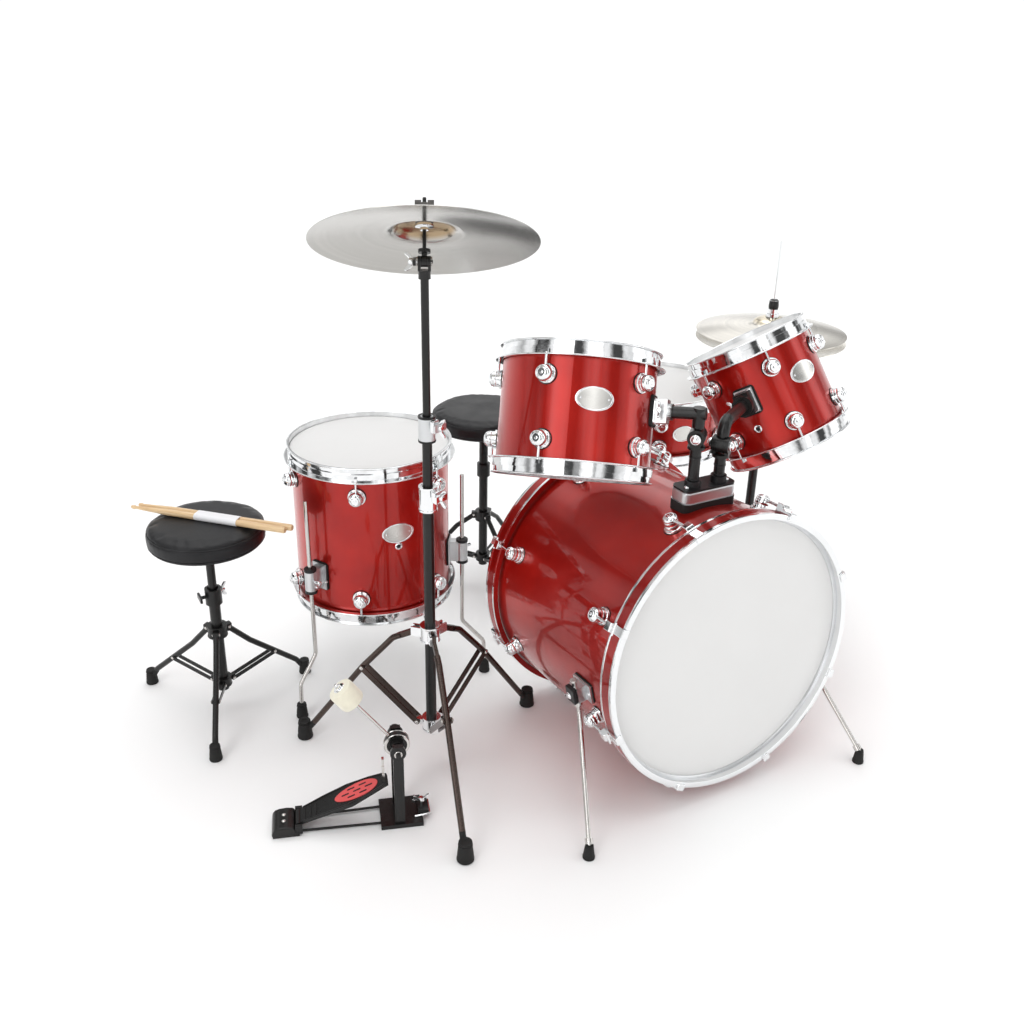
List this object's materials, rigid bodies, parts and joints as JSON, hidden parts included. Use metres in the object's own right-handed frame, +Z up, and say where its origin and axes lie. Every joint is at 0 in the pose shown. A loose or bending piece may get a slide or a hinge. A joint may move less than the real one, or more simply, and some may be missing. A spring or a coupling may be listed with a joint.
{
  "type": "acoustic drum kit",
  "caption": "Red acoustic drum kit with bass drum, toms, snare, hi-hat, crash cymbal, stools, kick pedal and sticks.",
  "frame": {"origin": "on the floor, in the middle of the kit's footprint", "axes": "+Z up, +Y towards the drummer, -Y towards the audience, +X towards the hi-hat"},
  "size_m": [1.6724, 1.251, 1.1987],
  "materials": {
    "red_shell": "candy red metallic lacquer over wood plies",
    "red_hoop": "red lacquered wooden hoop with bright metal edges",
    "head_film": "smooth white polyester film",
    "chrome_hoop": "bright chrome plate on pressed steel",
    "chrome_fittings": "bright chrome plate on die castings and rods",
    "satin_bracket": "satin cast alloy",
    "spur_steel": "plated steel rod with a black rubber foot",
    "snare_wire": "fine steel strands",
    "black_tube": "black powder coat",
    "dark_leg": "dark nickel and black rubber foot",
    "black_casting": "black coated casting",
    "felt_washer": "pressed felt",
    "cymbal_metal": "bright lathed cymbal alloy",
    "rod_steel": "plated steel rod",
    "footboard_metal": "black coated alloy",
    "black_vinyl": "black vinyl with a fine grain",
    "stick_wood": "clear lacquered maple"
  },
  "bodies": {
    "root": {"bass_shell": "red_shell", "bass_hoops": "red_hoop", "bass_heads": "head_film", "bass_lugs": "chrome_fittings", "bass_spur_brackets": "satin_bracket", "tom_mount_base": "satin_bracket", "floor_tom_legs": "spur_steel", "snare_shell": "red_shell", "snare_hoops": "chrome_hoop", "snare_heads": "head_film", "snare_lugs": "chrome_fittings", "snare_wires": "snare_wire", "snare_stand": "black_tube", "hihat_stand": "black_tube", "hihat_bottom_cymbal": "cymbal_metal", "crash_base_tube": "black_tube", "throne_stand": "black_tube", "rear_throne_stand": "black_tube", "pedal_frame": "black_casting"},
    "bass_spur_left": {"bass_spur_left": "spur_steel"},
    "bass_spur_right": {"bass_spur_right": "spur_steel"},
    "left_arm": {"left_tom_arm": "black_tube"},
    "left_tom": {"left_tom_shell": "red_shell", "left_tom_hoops": "chrome_hoop", "left_tom_heads": "head_film", "left_tom_lugs": "chrome_fittings", "left_tom_bracket": "satin_bracket"},
    "right_arm": {"right_tom_arm": "black_tube"},
    "right_tom": {"right_tom_shell": "red_shell", "right_tom_hoops": "chrome_hoop", "right_tom_heads": "head_film", "right_tom_lugs": "chrome_fittings", "right_tom_bracket": "satin_bracket"},
    "floor_tom": {"floor_tom_shell": "red_shell", "floor_tom_hoops": "chrome_hoop", "floor_tom_heads": "head_film", "floor_tom_lugs": "chrome_fittings", "floor_tom_leg_brackets": "satin_bracket"},
    "snare_throw_off": {"snare_throw_off": "chrome_fittings"},
    "hihat_top": {"hihat_rod": "rod_steel", "hihat_top_cymbal": "cymbal_metal"},
    "hihat_footboard": {"hihat_footboard": "footboard_metal"},
    "crash_mid": {"crash_mid_tube": "black_tube"},
    "crash_top": {"crash_top_tube": "black_tube"},
    "crash_tilter": {"crash_tilter": "black_casting", "crash_felts": "felt_washer"},
    "crash_cymbal": {"crash_cymbal": "cymbal_metal"},
    "crash_collar": {"crash_collar": "chrome_fittings"},
    "throne_post": {"throne_post": "black_tube"},
    "throne_seat": {"throne_seat": "black_vinyl"},
    "drumsticks": {"drumsticks": "stick_wood"},
    "rear_throne_seat": {"rear_throne_seat": "black_vinyl"},
    "pedal_beater": {"pedal_beater": "black_casting"},
    "pedal_footboard": {"pedal_footboard": "footboard_metal"},
    "crash_brace_1": {"crash_brace_1": "black_tube"},
    "crash_leg_1": {"crash_leg_1": "dark_leg"},
    "crash_brace_2": {"crash_brace_2": "black_tube"},
    "crash_leg_2": {"crash_leg_2": "dark_leg"},
    "crash_brace_3": {"crash_brace_3": "black_tube"},
    "crash_leg_3": {"crash_leg_3": "dark_leg"}
  },
  "joints": [
    {"name": "bass_spur_left_turn", "type": "hinge", "parent": "root", "child": "bass_spur_left", "pos_m": [-0.14244, -0.42544, 0.26058], "axis": [0.1908, -0.0613, -0.9797], "range_deg": [0, 70]},
    {"name": "bass_spur_right_turn", "type": "hinge", "parent": "root", "child": "bass_spur_right", "pos_m": [0.44928, -0.42544, 0.26058], "axis": [0.1908, 0.0613, 0.9797], "range_deg": [0, 70]},
    {"name": "left_arm_swivel", "type": "hinge", "parent": "root", "child": "left_arm", "pos_m": [0.12742, -0.3935, 0.65], "axis": [0, 0, 1], "range_deg": [-2, 12]},
    {"name": "left_tom_tilt", "type": "hinge", "parent": "left_arm", "child": "left_tom", "pos_m": [0.12742, -0.3935, 0.742], "axis": [0.7323, 0.681, 0], "range_deg": [0, 12]},
    {"name": "right_arm_swivel", "type": "hinge", "parent": "root", "child": "right_arm", "pos_m": [0.18942, -0.3955, 0.65], "axis": [0, 0, 1], "range_deg": [-12, 3]},
    {"name": "right_tom_tilt", "type": "hinge", "parent": "right_arm", "child": "right_tom", "pos_m": [0.18942, -0.3955, 0.716], "axis": [0.5315, -0.847, 0], "range_deg": [0, 12]},
    {"name": "floor_tom_height", "type": "slide", "parent": "root", "child": "floor_tom", "axis": [0, 0, 1], "range_m": [-0.03, 0.08]},
    {"name": "snare_throw_off_lever", "type": "hinge", "parent": "root", "child": "snare_throw_off", "pos_m": [0.62116, 0.29332, 0.548], "axis": [-0.5299, 0.848, 0], "range_deg": [0, 90]},
    {"name": "hihat_close", "type": "slide", "parent": "root", "child": "hihat_top", "axis": [0, 0, 1], "range_m": [-0.0155, 0], "stiffness_N_per_m": 2500, "springref_m": 0.012},
    {"name": "hihat_board_press", "type": "hinge", "parent": "root", "child": "hihat_footboard", "pos_m": [0.49225, 0.16867, 0.013], "axis": [0.7071, 0.7071, 0], "range_deg": [0, 5]},
    {"name": "crash_mid_height", "type": "slide", "parent": "root", "child": "crash_mid", "axis": [0, 0, 1], "range_m": [-0.08, 0.1]},
    {"name": "crash_top_height", "type": "slide", "parent": "crash_mid", "child": "crash_top", "axis": [0, 0, 1], "range_m": [-0.06, 0.1]},
    {"name": "crash_tilt", "type": "hinge", "parent": "crash_top", "child": "crash_tilter", "pos_m": [-0.34718, -0.1893, 1.078], "axis": [-0.8949, 0.4462, 0], "range_deg": [-27, 15]},
    {"name": "crash_spin", "type": "hinge", "parent": "crash_tilter", "child": "crash_cymbal", "pos_m": [-0.34718, -0.1893, 1.078], "axis": [0.2019, 0.4049, 0.8918], "continuous": true},
    {"name": "crash_fold", "type": "hinge", "parent": "root", "child": "crash_brace_1", "pos_m": [-0.36869, -0.16839, 0.104], "axis": [0.6972, 0.7169, 0], "range_deg": [0, 37]},
    {"name": "crash_leg_1_fold", "type": "hinge", "parent": "crash_brace_1", "child": "crash_leg_1", "pos_m": [-0.45615, -0.08333, 0.215], "axis": [0.6972, 0.7169, 0], "range_deg": [-74, 0]},
    {"name": "crash_brace_2_fold", "type": "hinge", "parent": "root", "child": "crash_brace_2", "pos_m": [-0.31852, -0.18043, 0.104], "axis": [0.2957, -0.9553, 0], "range_deg": [0, 37]},
    {"name": "crash_leg_2_fold", "type": "hinge", "parent": "crash_brace_2", "child": "crash_leg_2", "pos_m": [-0.20198, -0.14435, 0.215], "axis": [0.2957, -0.9553, 0], "range_deg": [-74, 0]},
    {"name": "crash_brace_3_fold", "type": "hinge", "parent": "root", "child": "crash_brace_3", "pos_m": [-0.35378, -0.21857, 0.104], "axis": [-0.9755, 0.2198, 0], "range_deg": [0, 37]},
    {"name": "crash_leg_3_fold", "type": "hinge", "parent": "crash_brace_3", "child": "crash_leg_3", "pos_m": [-0.3806, -0.33758, 0.215], "axis": [-0.9755, 0.2198, 0], "range_deg": [-74, 0]},
    {"name": "crash_collar_rise", "type": "slide", "parent": "root", "child": "crash_collar", "axis": [0, 0, 1], "range_m": [0, 0.1031]},
    {"name": "throne_height", "type": "slide", "parent": "root", "child": "throne_post", "axis": [0, 0, 1], "range_m": [-0.06, 0.08]},
    {"name": "throne_seat_turn", "type": "hinge", "parent": "throne_post", "child": "throne_seat", "pos_m": [-0.68758, 0.2295, 0.44], "axis": [0, 0, 1], "continuous": true},
    {"name": "drumsticks_lift", "type": "slide", "parent": "throne_post", "child": "drumsticks", "axis": [0, 0, 1], "range_m": [0, 0.15]},
    {"name": "rear_throne_seat_turn", "type": "hinge", "parent": "root", "child": "rear_throne_seat", "pos_m": [0.12542, 0.4825, 0.48], "axis": [0, 0, 1], "continuous": true},
    {"name": "pedal_beater_swing", "type": "hinge", "parent": "root", "child": "pedal_beater", "pos_m": [-0.47652, -0.3089, 0.176], "axis": [0.309, 0.9511, 0], "range_deg": [0, 50], "stiffness_Nm_per_rad": 1.2, "springref_deg": -34.38},
    {"name": "pedal_press", "type": "hinge", "parent": "root", "child": "pedal_footboard", "pos_m": [-0.66483, -0.24771, 0.017], "axis": [0.309, 0.9511, 0], "range_deg": [0, 12]}
  ],
  "couplings": [
    {"joint": "hihat_board_press", "follows": "hihat_close", "rad_per_m": -4.878},
    {"joint": "crash_leg_1_fold", "follows": "crash_fold", "ratio": -2},
    {"joint": "crash_brace_2_fold", "follows": "crash_fold", "ratio": 1},
    {"joint": "crash_leg_2_fold", "follows": "crash_fold", "ratio": -2},
    {"joint": "crash_brace_3_fold", "follows": "crash_fold", "ratio": 1},
    {"joint": "crash_leg_3_fold", "follows": "crash_fold", "ratio": -2},
    {"joint": "crash_collar_rise", "follows": "crash_fold", "m_per_rad": 0.15817},
    {"joint": "pedal_press", "follows": "pedal_beater_swing", "ratio": 0.24}
  ]
}
